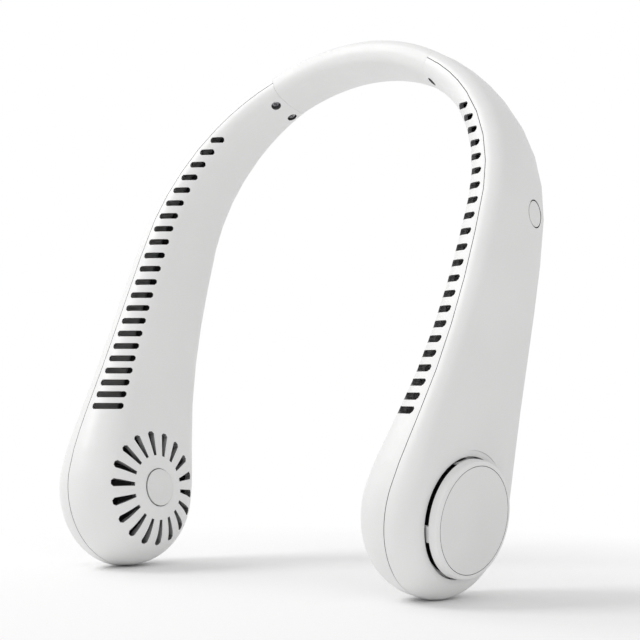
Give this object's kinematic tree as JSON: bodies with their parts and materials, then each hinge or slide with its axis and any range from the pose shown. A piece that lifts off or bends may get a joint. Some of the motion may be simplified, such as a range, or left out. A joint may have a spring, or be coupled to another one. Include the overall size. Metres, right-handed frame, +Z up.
{
  "type": "neck fan",
  "caption": "U-shaped bladeless neck fan: soft neck band, two hollow arms with outlet slots along the front, a blower with sunburst intake in each round end.",
  "frame": {"origin": "bottom centre of the box round the part as it stands on its round ends, leaning back", "axes": "+Z up, +X towards the arm with the power button, -Y the front edge with the outlet slots"},
  "size_m": [0.2084, 0.1086, 0.2279],
  "materials": {
    "white_shell": "satin white moulded plastic",
    "white_cap": "satin white moulded plastic",
    "white_disc": "fine matt white plastic",
    "white_badge": "satin white plastic",
    "white_sleeve": "smooth white silicone rubber",
    "spring_steel": "bare spring steel",
    "cable_jacket": "black cable jacket",
    "screw_steel": "plated steel",
    "impeller_plastic": "dark grey plastic",
    "motor_plastic": "dark plastic",
    "stator_steel": "varnished laminations and windings",
    "duct_plastic": "dark grey plastic",
    "cell_wrap": "blue shrink wrap over the cell",
    "board_green": "green circuit board",
    "switch_black": "black switch",
    "socket_steel": "plated shell",
    "button_white": "satin white plastic"
  },
  "bodies": {
    "neckband": {"band_sleeve": "white_sleeve", "band_core": "spring_steel", "band_cable": "cable_jacket"},
    "right_arm": {"right_inner_shell": "white_shell", "right_outer_shell": "white_shell", "right_fan_cap": "white_cap", "right_cap_disc": "white_disc", "right_badge": "white_badge", "right_motor_base": "motor_plastic", "right_stator": "stator_steel", "right_fan_scroll": "duct_plastic", "right_air_duct": "duct_plastic", "right_battery": "cell_wrap", "right_screws": "screw_steel", "main_board": "board_green", "tact_switch": "switch_black", "usb_socket": "socket_steel"},
    "left_arm": {"left_inner_shell": "white_shell", "left_outer_shell": "white_shell", "left_fan_cap": "white_cap", "left_cap_disc": "white_disc", "left_badge": "white_badge", "left_motor_base": "motor_plastic", "left_stator": "stator_steel", "left_fan_scroll": "duct_plastic", "left_air_duct": "duct_plastic", "left_battery": "cell_wrap", "left_screws": "screw_steel"},
    "right_rotor": {"right_impeller": "impeller_plastic"},
    "left_rotor": {"left_impeller": "impeller_plastic"},
    "button": {"power_button": "button_white"}
  },
  "joints": [
    {"name": "right_arm_flex", "type": "hinge", "parent": "neckband", "child": "right_arm", "pos_m": [0.02203, 0.04208, 0.2184], "axis": [0, -0.9455, 0.3256], "range_deg": [-6, 18], "stiffness_Nm_per_rad": 3, "deforming": ["band_sleeve", "band_core", "band_cable"]},
    {"name": "left_arm_flex", "type": "hinge", "parent": "neckband", "child": "left_arm", "pos_m": [-0.02203, 0.04208, 0.2184], "axis": [0, 0.9455, -0.3256], "range_deg": [-6, 18], "stiffness_Nm_per_rad": 3, "deforming": ["band_sleeve", "band_core", "band_cable"]},
    {"name": "right_fan_spin", "type": "hinge", "parent": "right_arm", "child": "right_rotor", "pos_m": [0.08587, -0.02215, 0.03186], "axis": [0.9908, -0.0442, -0.1283], "continuous": true},
    {"name": "left_fan_spin", "type": "hinge", "parent": "left_arm", "child": "left_rotor", "pos_m": [-0.08587, -0.02215, 0.03186], "axis": [-0.9908, -0.0442, -0.1283], "continuous": true},
    {"name": "power_button_press", "type": "slide", "parent": "right_arm", "child": "button", "axis": [-0.9886, -0.1351, -0.0658], "range_m": [0, 0.0006], "stiffness_N_per_m": 900}
  ]
}
